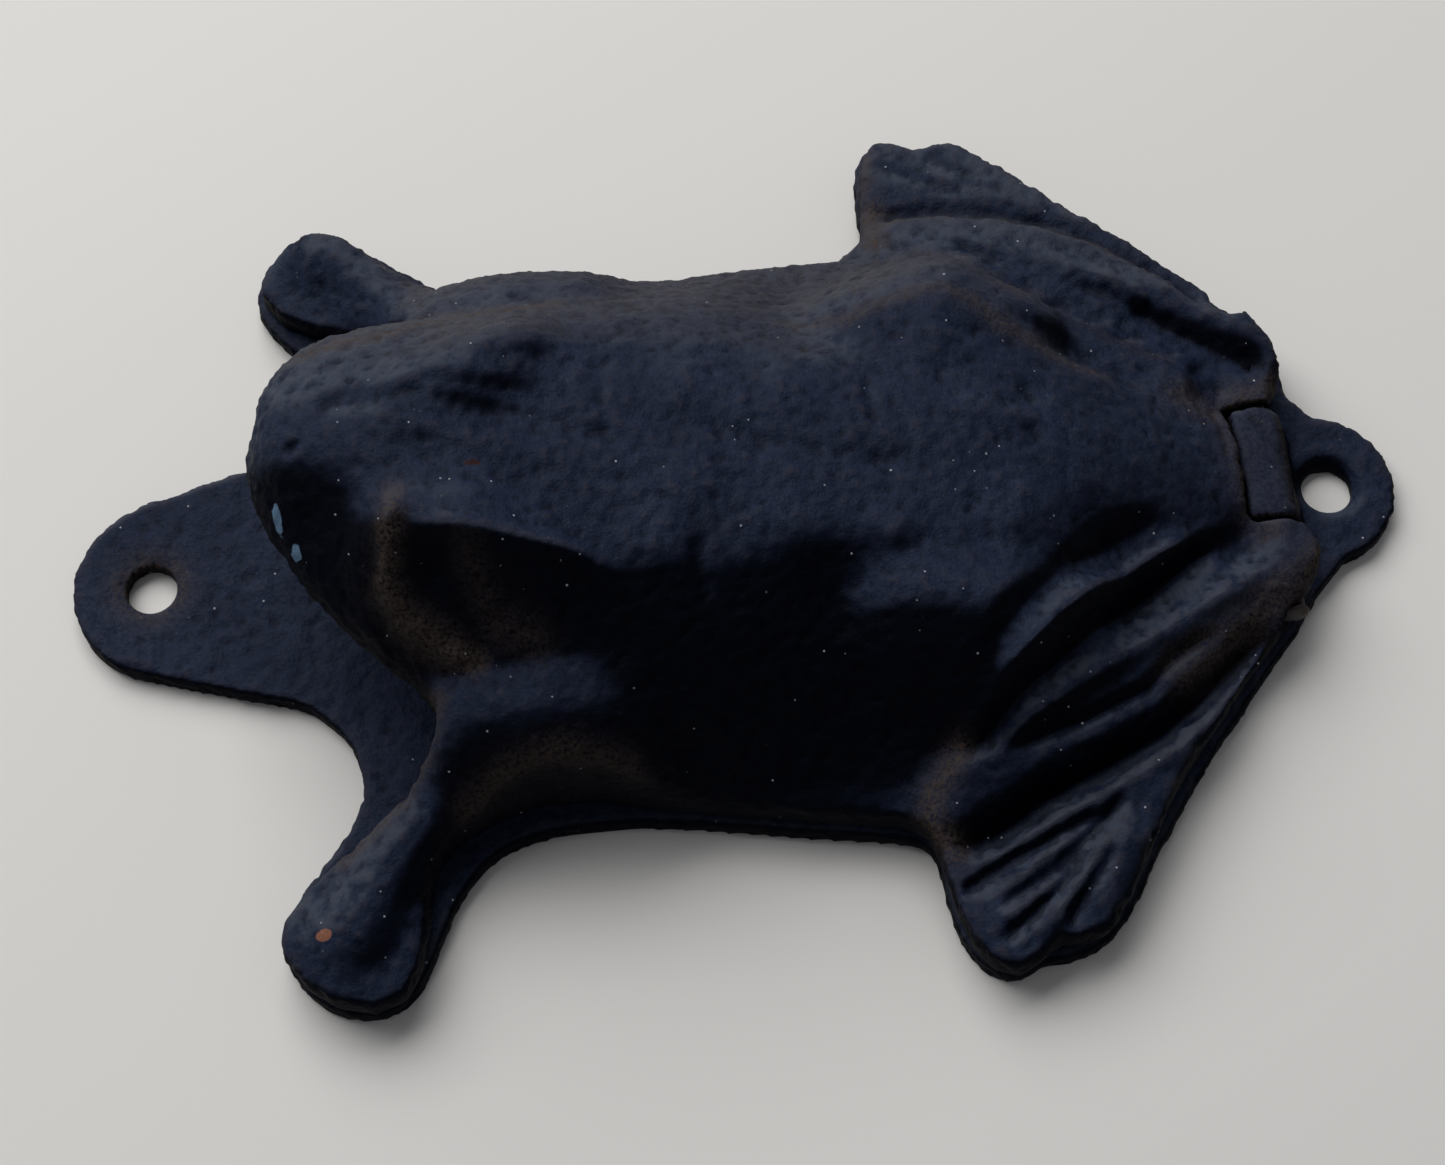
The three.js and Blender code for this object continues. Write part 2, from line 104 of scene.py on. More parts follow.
def read_points(mesh):
    points = np.empty(len(mesh.vertices) * 3, np.float32)
    mesh.vertices.foreach_get("co", points)
    return points.reshape(-1, 3).astype(np.float64)


def write_points(mesh, points):
    mesh.vertices.foreach_set("co", points.astype(np.float32).ravel())
    mesh.update()


def read_normals(mesh):
    normals = np.empty(len(mesh.vertices) * 3, np.float32)
    mesh.vertices.foreach_get("normal", normals)
    return normals.reshape(-1, 3).astype(np.float64)


def read_edges(mesh):
    edges = np.empty(len(mesh.edges) * 2, np.int32)
    mesh.edges.foreach_get("vertices", edges)
    return edges.reshape(-1, 2)


def smooth(points, edges, steps, weight):
    """Moves each point towards the mean of its neighbours, by its weight."""
    count = len(points)
    ends = np.concatenate([edges[:, 0], edges[:, 1]])
    others = np.concatenate([edges[:, 1], edges[:, 0]])
    degree = np.maximum(np.bincount(ends, minlength=count), 1)
    for _ in range(steps):
        mean = np.stack(
            [np.bincount(ends, points[others, axis], count) / degree for axis in range(3)], axis=1
        )
        points = points + (mean - points) * weight[:, None]
    return points


def ramp(value, low, high):
    """0 below low, 1 above high, smooth between them."""
    t = np.clip((value - low) / (high - low), 0, 1)
    return t * t * (3 - 2 * t)


def at_least(share, amount):
    """An amount of 0 to 1, raised so that it runs from share to 1."""
    return share + (1 - share) * amount


def cast_noise(points, size, seed, octaves=3):
    """Fractal noise of about -1 to 1, whose largest lumps are size mm across."""
    scale = 1 / (size * MM)
    offset = Vector((seed * 17.3, seed * 5.1, seed * 9.7))
    roughness, lacunarity = 0.9, 2.1
    values = [noise.fractal(Vector(p) * scale + offset, roughness, lacunarity, octaves) for p in points]
    return np.array(values)


def store(mesh, name, values):
    """Keeps one number a point, for the materials to read."""
    layer = mesh.attributes.new(name, "FLOAT", "POINT")
    layer.data.foreach_set("value", values.astype(np.float32))


def line_distance(x, y, line):
    """Distance in mm from each point to a line of points, and how far along it, 0 to 1."""
    best = np.full(len(x), np.inf)
    along = np.zeros(len(x))
    lengths = [math.dist(a, b) for a, b in zip(line, line[1:])]
    total = sum(lengths)
    done = 0.0
    for (a, b), length in zip(zip(line, line[1:]), lengths):
        ux, uy = (b[0] - a[0]) / length, (b[1] - a[1]) / length
        t = np.clip((x - a[0]) * ux + (y - a[1]) * uy, 0, length)
        distance = np.hypot(x - a[0] - t * ux, y - a[1] - t * uy)
        nearer = distance < best
        best = np.where(nearer, distance, best)
        along = np.where(nearer, (done + t) / total, along)
        done += length
    return best, along


def crease(x, y, line, width, height, taper=0.2):
    """A ridge (height above 0) or a groove (below 0) along a line, fading out at both ends."""
    distance, along = line_distance(x, y, line)
    before_end = -0.01
    fade = ramp(along, before_end, taper) * ramp(1 - along, before_end, taper)
    return height * np.exp(-((distance / width) ** 2)) * fade


def bump(x, y, place, width, height, stretch=1.0, turn=0.0):
    """A round or oval swelling, stretched along a direction turned from X."""
    dx, dy = x - place[0], y - place[1]
    cosine, sine = math.cos(turn), math.sin(turn)
    along = (dx * cosine + dy * sine) / stretch
    across = -dx * sine + dy * cosine
    return height * np.exp(-((along ** 2 + across ** 2) / width ** 2))


# ---------------------------------------------------------------- the frog casting

# Grooves: a line, then its half width and depth, and how much of its length fades out at each end
GROOVES = [
    # down the head and back
    ([(-48.4, 4.3), (-46, 7), (-38.2, 6.8), (-33.8, 5.8), (-25, 4.1), (-16.2, 1.9), (-12, -1)],
     1.4, 0.6, 0.15),
    ([(-39, 8.6), (-33.7, 8), (-28, 7.6), (-20, 6.4)], 1.1, 0.4, 0.3),
    ([(-11, 1.6), (-6, 3.6), (0.5, 0.8), (6, -0.8), (11.5, -1.8), (17, -2.6), (24, -3.4)],
     1.8, 0.6, 0.2),
    ([(-36, 12.8), (-29, 11.4), (-22, 11.8), (-16, 11.4)], 1.6, 0.6, 0.3),
    ([(-52, 2.7), (-49, 2.9)], 0.6, 0.5, 0.3),
    ([(15.2, 10), (14.6, 5), (15.8, 0.5)], 0.8, 0.5, 0.3),
    ([(-15.2, 14), (-15.8, 9), (-16.2, 4)], 1.2, 0.5, 0.3),
    ([(-6.4, -9.5), (-6.6, -14), (-6, -18)], 1.1, 0.5, 0.3),
    # across the rump
    ([(57.5, 9.5), (58.8, 5), (58.8, 0), (59.6, -5)], 0.8, 0.6, 0.2),
    # near hind leg: fold against the flank, thigh to shin, along the shin, shin to foot
    ([(50, -7.4), (43, -10.6), (36, -15), (29.5, -20.4), (23, -27)], 1.8, 1.4, 0.2),
    ([(57, -9.6), (52.7, -11.9), (45.9, -16.6), (39.3, -20.8), (33.9, -25), (27.4, -29.6), (20.8, -35)],
     1.5, 2.8, 0.12),
    ([(54.6, -21), (50.9, -22.2), (47.2, -24.4), (44, -27.4), (36.6, -30.6), (25.7, -33.8)],
     0.9, 1.0, 0.15),
    ([(60, -20.6), (56, -24), (50.4, -28.8), (45.6, -32.2), (37.3, -35.7), (31, -38.4), (25, -41.8),
      (19, -43.4)], 1.5, 3.0, 0.1),
    # near toes
    ([(37, -40.4), (31.4, -43), (25.2, -45.6), (18.6, -48.8)], 0.75, 1.3, 0.12),
    ([(28, -45.7), (26.2, -46.7), (21, -49.5)], 0.6, 0.7, 0.25),
    ([(40, -38.4), (37.5, -41.2), (33.5, -44.4), (30.7, -47.1), (22.6, -51)], 0.8, 1.2, 0.15),
    ([(35.4, -44.4), (33.2, -46.4), (29.1, -50.5), (22.6, -55)], 0.8, 1.1, 0.15),
    ([(37.6, -45), (34.2, -49), (30.2, -54.4)], 0.9, 0.9, 0.2),
    # far hind leg: shin to foot, shin to thigh, ankle to rump, a nick on the knee
    ([(20, 41.2), (29, 41), (36.8, 39.4), (43, 37.2), (49, 34), (55, 29.2), (60.4, 23.6)],
     1.2, 1.1, 0.08),
    ([(20.6, 33), (28.9, 29.8), (34.8, 26.8), (41, 23.4), (46, 20)], 1.5, 1.6, 0.2),
    ([(43, 28.4), (46, 26.1), (52.7, 21.4)], 1.4, 1.0, 0.3),
    ([(50, 23.8), (56, 19.6), (61, 16.4), (66.4, 13)], 2.0, 2.2, 0.15),
    ([(29, 35.6), (32.3, 32.8), (36.4, 29.6)], 0.9, 0.7, 0.3),
    ([(32, 19), (37, 16.4), (43, 13.6), (50, 9.6)], 1.8, 1.0, 0.2),
    # far toes
    ([(36, 44), (30, 48), (24.4, 54)], 0.8, 0.35, 0.2),
    ([(33, 43.4), (27, 46), (20.6, 49.4)], 0.8, 0.35, 0.2),
]

# Crests, in the same form
CRESTS = [
    ([(-46, 4.2), (-39, 3.4), (-32.9, 2.2), (-25, -0.2), (-16.6, -2.5)], 1.6, 0.4, 0.25),
    # the near brow's overhang, and the folds under the near eye
    ([(-38.2, -9.2), (-32, -10.4), (-25.7, -11.8), (-19.4, -13.2), (-14.4, -16.6)], 1.4, 1.3, 0.2),
    ([(-39.6, -5), (-40.4, -10.4), (-41.4, -13.4), (-40, -16), (-37.4, -18), (-32.5, -21)],
     1.3, 1.2, 0.15),
    ([(-32, -12.6), (-30.2, -18), (-25.5, -20.4)], 1.4, 0.5, 0.3),
    # near hind leg
    ([(53.4, -9.8), (46.2, -12.9), (39.7, -17), (33.2, -21.4), (26.4, -27.4), (20.9, -33.4)],
     1.2, 1.3, 0.15),
    ([(62, -13.2), (51.6, -18.2), (44.8, -22), (38.4, -25.4), (32, -29), (25.8, -32.2), (19, -37)],
     1.4, 1.1, 0.15),
    ([(57, -24.2), (49.6, -31.2), (43, -36), (36.4, -39.6), (28, -42.8), (20, -45.6)], 1.4, 0.9, 0.15),
    ([(35, -42.6), (27, -46.4), (20.6, -50)], 1.0, 0.5, 0.2),
    ([(36, -43.4), (29, -49), (23, -53)], 1.1, 0.6, 0.2),
    ([(37.4, -44.4), (31.6, -50.4), (27, -55)], 1.2, 0.6, 0.2),
    ([(41, -42), (37.6, -47), (34.4, -52)], 1.6, 0.5, 0.2),
    # far hind leg
    ([(20.6, 38.8), (29, 38.6), (36.2, 37), (42, 34.8), (47.8, 31.6), (53.4, 27), (59, 21.6), (65, 17.6)],
     1.3, 0.8, 0.08),
    ([(44, 29.6), (49, 26.6), (56, 20.8), (64.4, 15)], 1.6, 0.5, 0.2),
]

# Swellings and hollows: x, y, half width, rise, stretch and the direction it is stretched in
BUMPS = [
    # far brow, near eye's hollow and its front corner
    (-29, 15.6, 5, 1.3, 1.6, 0.0),
    (-29.4, -16.2, 3.4, -2.8, 2.2, -0.3),
    (-36.6, -13, 2.2, -1.8, 1.2, 0.0),
    # warts and nicks on the back
    (15.6, -11, 2.6, 1.1, 1.0, 0.0),
    (22.8, 13.2, 3.4, 1.0, 1.2, 0.3),
    (33.7, 6.1, 1.4, -0.7, 1.0, 0.0),
    (33.5, 0.9, 1.3, -0.6, 1.0, 0.0),
    (-12, -12.6, 3.4, 0.6, 1.3, 0.2),
    (-5.8, -5, 3.2, 0.5, 1.2, 0.0),
    (-5.6, 8.8, 3.4, 0.6, 1.2, 0.4),
    (5, 7.4, 3.4, 0.6, 1.0, 0.0),
    (30, -10, 3, 0.6, 1.2, 0.5),
    (4, -10, 3, 0.5, 1.2, 0.0),
    (38, -5, 3, 0.5, 1.0, 0.0),
    (27, 3.4, 2.8, 0.5, 1.0, 0.0),
    # far waist
    (10, 26.5, 5.5, -1.0, 1.6, 0.0),
    # far front foot, far hind foot and near front foot
    (-48.5, 41.5, 2.6, 0.5, 1.4, 0.3),
    (-50, 35.8, 2.4, -0.5, 1.8, 0.2),
    (28, 47, 4.6, -0.7, 1.6, -0.3),
    (-50.4, -46, 4, 0.5, 1.2, 0.6),
]

# Where rust-brown dust lies: a line, its half width and its strength
DUST_LINES = [
    ([(-39.6, -5), (-40.4, -10.4), (-41.4, -13.4), (-40, -16), (-37.4, -18), (-32.5, -21)], 1.5, 0.8),
    ([(-32, -12.6), (-30.2, -18), (-25.5, -20.4)], 2.0, 0.3),
    ([(-50, 15.8), (-43.7, 17), (-37.9, 17.8), (-35.5, 20), (-32, 21), (-27, 21.8), (-20, 23)],
     1.5, 0.9),
    ([(20.9, -33.4), (17.6, -37), (16.8, -40.5), (19.6, -43.6)], 1.7, 0.9),
    ([(20.8, 39.6), (29, 39.5), (36.4, 38), (42.5, 35.9), (48.3, 32.8), (53.9, 28.1)], 0.9, 0.9),
    ([(6, 19), (14, 17.4), (20.5, 19.8), (25.3, 20.4), (29.8, 18), (31.8, 15.8), (37.4, 13.2), (44, 11)],
     1.4, 0.6),
    ([(20.2, 36.6), (20.4, 42)], 2.0, 1.0),
    ([(54, 9), (60, 6.5), (60.6, -3), (62, -8)], 2.6, 0.6),
    ([(60, -17.4), (64.4, -14.6), (67.4, -11.4)], 2.6, 0.6),
    ([(48, -25.4), (54, -21.8), (61, -17.6)], 2.4, 0.55),
    ([(-37.6, -23.6), (-39.6, -28), (-44, -32.6), (-50, -37.4)], 1.5, 0.7),
    ([(-35, -34.4), (-30.4, -32.4), (-23.7, -31.2), (-16.8, -33)], 1.8, 0.6),
    ([(60.4, 9.4), (65.6, 10.8)], 2.0, 0.7),
    ([(21, 51), (20, 45.4)], 1.2, 0.7),
]

# The direction of the window light: faces turned this way get a painted highlight, faces turned away a
# painted shade
LIGHT_SIDE = (-0.25, 0.62, 0.75)

# Lines on the leg tops, the feet and the far brow where the painted light is raised: more painted
# highlight, less painted shade. A line and its half width
LIT_LINES = [
    ([(-52, 42), (-45, 38)], 6),
    ([(24, 50), (36, 46), (44, 40)], 6),
    ([(24, 37), (36, 35), (47, 29), (60, 19)], 3.5),
    ([(-50, 12), (-40, 13), (-30, 15)], 3.5),
    ([(56, -19), (44, -24), (32, -30), (24, -36)], 5),
    ([(50, -33), (38, -42), (27, -50)], 5),
    ([(-40, -28), (-48, -38), (-53, -48)], 5),
]

# Where the painted shade is made darker, on the near muzzle, the near flank and the far ankle's end, in
# the same form
SHADE_LINES = [
    ([(-53, -3), (-49, -6), (-44.5, -10), (-42.5, -14)], 4.2),
    ([(-12, -22), (8, -24), (20, -26)], 5),
    ([(54, 20.6), (61, 16.4), (67, 13)], 2.2),
]

# How much a lit line raises the painted light, and how much a line of painted shade lowers it
LIT_LINES_LIGHTER = 0.2
SHADE_LINES_DARKER = 0.45

# Where each guard begins and ends, in mm: out from the pin's axis, up from the frog's rim,
# out from the lug's centre line, and back along the notch for the lug
FROG_BORE_BAND = (2.2, 3.6)
RIM_BAND = (0.4, 2.2)
BODY_BAND = (4, 8)
NOTCH_SIDE_BAND = (8, 9.6)
NOTCH_END_BAND = (57.5, 59)

# How far a rise follows the surface's normal, and how far it goes straight up
LIFT_ALONG_NORMAL = 0.4
LIFT_UP = np.array([0, 0, 0.6])


def add_lines(x, y, lines, sign):
    height = np.zeros(len(x))
    for line, width, size, taper in lines:
        height += crease(x, y, line, width, sign * size, taper)
    return height


def sculpt_frog(x, y):
    """Height in mm to add to the frog's outer surface at each place."""
    height = add_lines(x, y, GROOVES, -1) + add_lines(x, y, CRESTS, 1)
    for bump_x, bump_y, width, rise, stretch, turn in BUMPS:
        height += bump(x, y, (bump_x, bump_y), width, rise, stretch, turn)
    return height


def facing_light(normals):
    """How far each place faces the window light, up and away from the near side: the measure for the
    painted highlight and the painted shade.
    """
    return normals @ np.array(LIGHT_SIDE)


def near_lines(x, y, lines):
    """1 on the nearest of the lines, falling to 0 away from all of them."""
    nearness = np.zeros(len(x))
    for line, width in lines:
        distance, _ = line_distance(x, y, line)
        nearness = np.maximum(nearness, np.exp(-((distance / width) ** 2)))
    return nearness


def frog_dust_and_sheen(x, y, normals):
    """0 to 1: dust along the folds, and a painted sheen on the faces that look to the far side, towards
    the light.
    """
    dust_and_sheen = np.zeros(len(x))
    for line, width, strength in DUST_LINES:
        distance, _ = line_distance(x, y, line)
        dust_and_sheen = np.maximum(dust_and_sheen, strength * np.exp(-((distance / width) ** 2)))
    # Far-side faces turned towards the light get the dust colour as a painted sheen
    far_side_sheen = 0.5 * ramp(normals[:, 1], 0.3, 0.75) * ramp(y, 8, 16)
    return np.maximum(dust_and_sheen, far_side_sheen)


def make_frog():
    piece = remeshed_copy("frog_casting", "frog_body", VOXEL)
    mesh = piece.data
    points = read_points(mesh)
    edges = read_edges(mesh)
    z = points[:, 2] / MM
    from_pin = np.hypot(points[:, 0] / MM - HINGE_X, z - HINGE_Z)
    hinge = ramp(from_pin, *FROG_BORE_BAND)
    rim = ramp(z, *(RIM_Z + height for height in RIM_BAND))
    body = ramp(z, *(RIM_Z + height for height in BODY_BAND))
    x, y = points[:, 0] / MM, points[:, 1] / MM
    beside_notch = ramp(np.abs(y - LUG_CENTRE_Y), *NOTCH_SIDE_BAND)
    clear_of_lug = np.maximum(beside_notch, 1 - ramp(x, *NOTCH_END_BAND))
    weight = hinge * (0.05 + 0.4 * rim + 0.55 * body) * at_least(0.25, clear_of_lug)
    points = smooth(points, edges, FROG_SMOOTH_STEPS, 0.6 * np.clip(weight, 0.04, 1))
    write_points(mesh, points)
    normals = read_normals(mesh)
    outside = ramp(normals[:, 2], -0.1, 0.25) * hinge * at_least(0.25, rim)
    x, y = points[:, 0] / MM, points[:, 1] / MM
    lift = sculpt_frog(x, y) * outside * clear_of_lug
    points = points + (normals * LIFT_ALONG_NORMAL + LIFT_UP) * (lift * MM)[:, None]
    points = smooth(points, edges, 2, np.full(len(points), 0.4))
    write_points(mesh, points)
    # The measure of painted light: how far each face turns to the window, raised along the lit lines and
    # lowered along the lines of painted shade
    lit_raised = LIT_LINES_LIGHTER * near_lines(x, y, LIT_LINES)
    shaded = SHADE_LINES_DARKER * near_lines(x, y, SHADE_LINES)
    store(mesh, "lit_amount", facing_light(read_normals(mesh)) + (lit_raised - shaded))
    guard = at_least(0.15, rim) * at_least(0.1, hinge)
    roughen(mesh, points, edges, lumps=0.3, grain=0.26, guard=guard)
    store(mesh, "dust_and_sheen", frog_dust_and_sheen(x, y, normals) * outside)
    piece.data.shade_smooth()
    return piece


# ---------------------------------------------------------------- the back plate

# The fold across the top of the lug, how deep it is, and how far the lug's two sides are rounded down
LUG_FOLD = [(60.6, 8), (63.4, 6), (65, 2), (65.6, -4)]
LUG_FOLD_DEPTH = 0.5
LUG_SIDE_DROP = 0.3
LUG_SIDE_BAND = (4, 7.6)

# The dish round the head's hole
DISH_WIDTH = 1.6
DISH_DEPTH = 0.5
DUST_RING_WIDTH = 2.2

# Where each guard begins and ends, in mm: up from the back, up to the lug's top,
# and out from the pin's axis in the plate and at the lug's top
FRONT_BAND = (0.2, 1.2)
LUG_TOP_BAND = (4, 6.5)
PLATE_BORE_BAND = (2.2, 3.2)
LUG_BORE_BAND = (2.6, 3.2)


def make_plate():
    piece = remeshed_copy("back_plate", "back_plate_casting", VOXEL)
    mesh = piece.data
    points = read_points(mesh)
    edges = read_edges(mesh)
    x, y, z = points[:, 0] / MM, points[:, 1] / MM, points[:, 2] / MM
    front = ramp(z, *FRONT_BAND)
    from_head_hole = np.hypot(x - HEAD_HOLE[0], y - HEAD_HOLE[1])
    from_tail_hole = np.hypot(x - TAIL_HOLE[0], y - TAIL_HOLE[1])
    clear_of_holes = np.minimum(
        ramp(from_head_hole, HOLE_RADIUS, HOLE_RADIUS + 1.4),
        ramp(from_tail_hole, COUNTERSINK_RADIUS - 1.6, COUNTERSINK_RADIUS + 0.6),
    )
    from_pin = np.hypot(x - HINGE_X, z - HINGE_Z)
    clear_of_bore = ramp(from_pin, *PLATE_BORE_BAND)
    guard = front * clear_of_bore * clear_of_holes
    points = smooth(points, edges, PLATE_SMOOTH_STEPS, 0.5 * np.clip(guard, 0.06, 1))
    write_points(mesh, points)
    dish = np.exp(-((from_head_hole - HOLE_RADIUS) / DISH_WIDTH) ** 2) * ramp(z, 2.0, 2.8)
    points[:, 2] -= DISH_DEPTH * dish * MM
    # The measure of painted light for the plate: how far each face turns to the window
    store(mesh, "lit_amount", facing_light(read_normals(mesh)))
    lug_top = ramp(z, *LUG_TOP_BAND) * ramp(from_pin, *LUG_BORE_BAND)
    from_fold, _ = line_distance(x, y, LUG_FOLD)
    side_drop = LUG_SIDE_DROP * ramp(np.abs(y - LUG_CENTRE_Y), *LUG_SIDE_BAND)
    points[:, 2] -= lug_top * (side_drop + LUG_FOLD_DEPTH * np.exp(-from_fold ** 2)) * MM
    roughen(mesh, points, edges, lumps=0.26, grain=0.24, guard=guard * (1 - 0.4 * lug_top))
    ring = np.exp(-((from_head_hole - HOLE_RADIUS) / DUST_RING_WIDTH) ** 2)
    store(mesh, "dust_and_sheen", np.maximum(0.6 * ring, 0.2 * lug_top) * ramp(z, 0.5, 2.5))
    piece.data.shade_smooth()
    return piece


# The skin of a sand casting: sizes of its lumps, grain and pits in mm, how rare the pits are,
# how deep beside the grain, and how many steps of smoothing the relief is measured from
LUMP_SIZE = 6
GRAIN_SIZE = 1.4
PIT_SIZE = 2.3
PIT_THRESHOLD = 0.3
PIT_DEPTH = 1.5
RELIEF_STEPS = 10


def roughen(mesh, points, edges, lumps, grain, guard):
    """The uneven skin of a sand casting, in mm, and the relief that the paint and the dust follow."""
    normals = read_normals(mesh)
    broad = cast_noise(points, LUMP_SIZE, 1) * lumps
    fine = cast_noise(points, GRAIN_SIZE, 2) * grain
    pits = -np.maximum(cast_noise(points, PIT_SIZE, 3) - PIT_THRESHOLD, 0) * grain * PIT_DEPTH
    rough = points + normals * ((broad + fine + pits) * guard * MM)[:, None]
    write_points(mesh, rough)
    relaxed = smooth(rough, edges, RELIEF_STEPS, np.full(len(rough), 0.5))
    relief = np.einsum("ij,ij->i", rough - relaxed, read_normals(mesh)) / MM
    store(mesh, "relief", relief)


# ---------------------------------------------------------------- the hinge pin

# A hammered end from its centre outwards: share of the head's radius, and how far in from the pin's
# end, in mm. Then where the head ends and where the clean shank starts, in mm from the same end
PIN_DOME = [(0.45, 0.06), (0.8, 0.28), (1, 0.6), (0.94, 0.86)]
PIN_HEAD_LENGTH = 0.9
PIN_SHANK_START = 3
PIN_SIDES = 32
PIN_DENTS = 3
PIN_DENT_DEPTH = 0.04


def make_pin():
    """A round pin with two hammered ends, lathed about the hinge axis."""
    near, far = PIN_LOW.y / MM, PIN_HIGH.y / MM
    head = (PIN_HIGH.z - PIN_LOW.z) / MM / 2
    end = [(head * share, inwards) for share, inwards in PIN_DOME]
    end += [(PIN_RADIUS, PIN_HEAD_LENGTH), (PIN_RADIUS, PIN_SHANK_START)]
    profile = [(r, near + inwards) for r, inwards in end]
    profile += [(r, far - inwards) for r, inwards in reversed(end)]
    vertices = []
    faces = []
    for r, y in profile:
        for k in range(PIN_SIDES):
            angle = 2 * math.pi * k / PIN_SIDES
            dent = 1 - PIN_DENT_DEPTH * (1 + math.sin(PIN_DENTS * angle + y)) * (r > PIN_RADIUS)
            vertices.append((r * dent * math.cos(angle), y, r * dent * math.sin(angle)))
    near_centre = len(vertices)
    far_centre = near_centre + 1
    vertices += [(0, near, 0), (0, far, 0)]
    last_ring = (len(profile) - 1) * PIN_SIDES
    for ring in range(len(profile) - 1):
        for k in range(PIN_SIDES):
            a = ring * PIN_SIDES + k
            b = ring * PIN_SIDES + (k + 1) % PIN_SIDES
            faces.append((a, b, b + PIN_SIDES, a + PIN_SIDES))
    for k in range(PIN_SIDES):
        following = (k + 1) % PIN_SIDES
        faces.append((near_centre, following, k))
        faces.append((far_centre, last_ring + k, last_ring + following))
    mesh = bpy.data.meshes.new("pin_steel")
    mesh.from_pydata([(Vector((HINGE.x, 0, HINGE.z)) + Vector(v) * MM) for v in vertices], [], faces)
    mesh.shade_smooth()
    piece = bpy.data.objects.new("pin_steel", mesh)
    bpy.context.scene.collection.objects.link(piece)
    return piece


# ---------------------------------------------------------------- materials

class Nodes:
    """A short way to write a node tree."""

    def __init__(self, name):
        self.material = bpy.data.materials.new(name)
        self.material.use_nodes = True
        self.tree = self.material.node_tree
        self.shader = self.tree.nodes["Principled BSDF"]
        self.place = self.add("ShaderNodeTexCoord").outputs["Object"]

    def add(self, kind, **settings):
        node = self.tree.nodes.new(kind)
        for key, value in settings.items():
            setattr(node, key, value)
        return node

    def link(self, source, target):
        self.tree.links.new(source, target)

    def noise(self, size_mm, detail=4.0, roughness=0.55):
        node = self.add("ShaderNodeTexNoise")
        node.inputs["Scale"].default_value = 1 / (size_mm * MM)
        node.inputs["Detail"].default_value = detail
        node.inputs["Roughness"].default_value = roughness
        self.link(self.place, node.inputs["Vector"])
        return node.outputs["Fac"]

    def attribute(self, name):
        node = self.add("ShaderNodeAttribute", attribute_name=name)
        return node.outputs["Fac"]

    def math(self, operation, first, second):
        node = self.add("ShaderNodeMath", operation=operation)
        for socket, value in zip(node.inputs, (first, second)):
            if isinstance(value, (int, float)):
                socket.default_value = value
            else:
                self.link(value, socket)
        return node.outputs[0]

    def span(self, value, low, high, to_low=0.0, to_high=1.0):
        node = self.add("ShaderNodeMapRange", interpolation_type="SMOOTHSTEP")
        self.link(value, node.inputs["Value"])
        node.inputs["From Min"].default_value = low
        node.inputs["From Max"].default_value = high
        node.inputs["To Min"].default_value = to_low
        node.inputs["To Max"].default_value = to_high
        return node.outputs["Result"]

    def bump_map(self, height, strength, distance_mm):
        node = self.add("ShaderNodeBump")
        node.inputs["Strength"].default_value = strength
        node.inputs["Distance"].default_value = distance_mm * MM
        self.link(height, node.inputs["Height"])
        self.link(node.outputs["Normal"], self.shader.inputs["Normal"])

    def mix(self, factor, first, second):
        node = self.add("ShaderNodeMix", data_type="RGBA")
        self.link(factor, node.inputs["Factor"])
        for socket, value in zip((node.inputs[6], node.inputs[7]), (first, second)):
            if isinstance(value, tuple):
                socket.default_value = (*value, 1)
            else:
                self.link(value, socket)
        return node.outputs[2]


# Colours, as linear red, green and blue
DEEP_NAVY = (0.0040, 0.0078, 0.0225)
NAVY = (0.0085, 0.0145, 0.0350)
BLUE_GREY = (0.0185, 0.0275, 0.0520)
# Painted highlight on the faces turned to the light
HIGHLIGHT_BLUE = (0.0330, 0.0420, 0.0640)
# Painted shade, in the pits and on the faces turned away from the light
SHADE_BLACK = (0.0006, 0.0008, 0.0028)
# Dust, also used as a painted sheen and highlight on faces turned to the light
RUST_DUST_AND_SHEEN = (0.0520, 0.0390, 0.0330)
WHITE_DUST = (0.30, 0.31, 0.34)
PALE_CHIP = (0.075, 0.13, 0.20)
RUST_CHIP = (0.20, 0.085, 0.055)
RAW_CHIP = (0.022, 0.007, 0.009)
TEAL_RUB = (0.010, 0.030, 0.055)
DULL_STEEL = (0.020, 0.022, 0.030)
RUST_STAIN = (0.035, 0.022, 0.016)

# Sizes in mm of the clouds and patches of worn paint, and the spacing of the white specks
CLOUD_SIZE = 8
PATCH_SIZE = 2.4
SPECK_SPACING = 2.0
SPECK_CLUSTER_SIZE = 5

# Small marks: colour, centre in mm, half sizes along X, Y and Z, and how broken up each is
MARKS = [
    (PALE_CHIP, (-53.2, -3.4, 28.0), (0.6, 2.0, 1.8), 0.6),
    (PALE_CHIP, (-51.4, -7.2, 26.8), (0.6, 1.0, 1.4), 0.6),
    (RUST_CHIP, (-52.6, -46.4, 10.6), (1.2, 0.8, 2.5), 0.25),
    (RAW_CHIP, (-30.7, -1.6, 34.2), (1.0, 0.4, 2.0), 0.4),
    (TEAL_RUB, (-25.6, -27.6, 14.0), (2.4, 0.8, 3.5), 0.4),
]


def paint_mark(n, color, mark):
    """Blends one small mark over a colour."""
    mark_color, centre, half_sizes, broken = mark
    frame_of_mark = n.add("ShaderNodeMapping")
    frame_of_mark.inputs["Location"].default_value = [-c / h for c, h in zip(centre, half_sizes)]
    frame_of_mark.inputs["Scale"].default_value = [1 / (h * MM) for h in half_sizes]
    n.link(n.place, frame_of_mark.inputs["Vector"])
    length = n.add("ShaderNodeVectorMath", operation="LENGTH")
    n.link(frame_of_mark.outputs["Vector"], length.inputs[0])
    ragged = n.math("ADD", length.outputs["Value"], n.math("MULTIPLY", n.noise(0.9, 3), 2 * broken))
    return n.mix(n.span(ragged, 1 + broken, 0.85 + broken), color, mark_color)


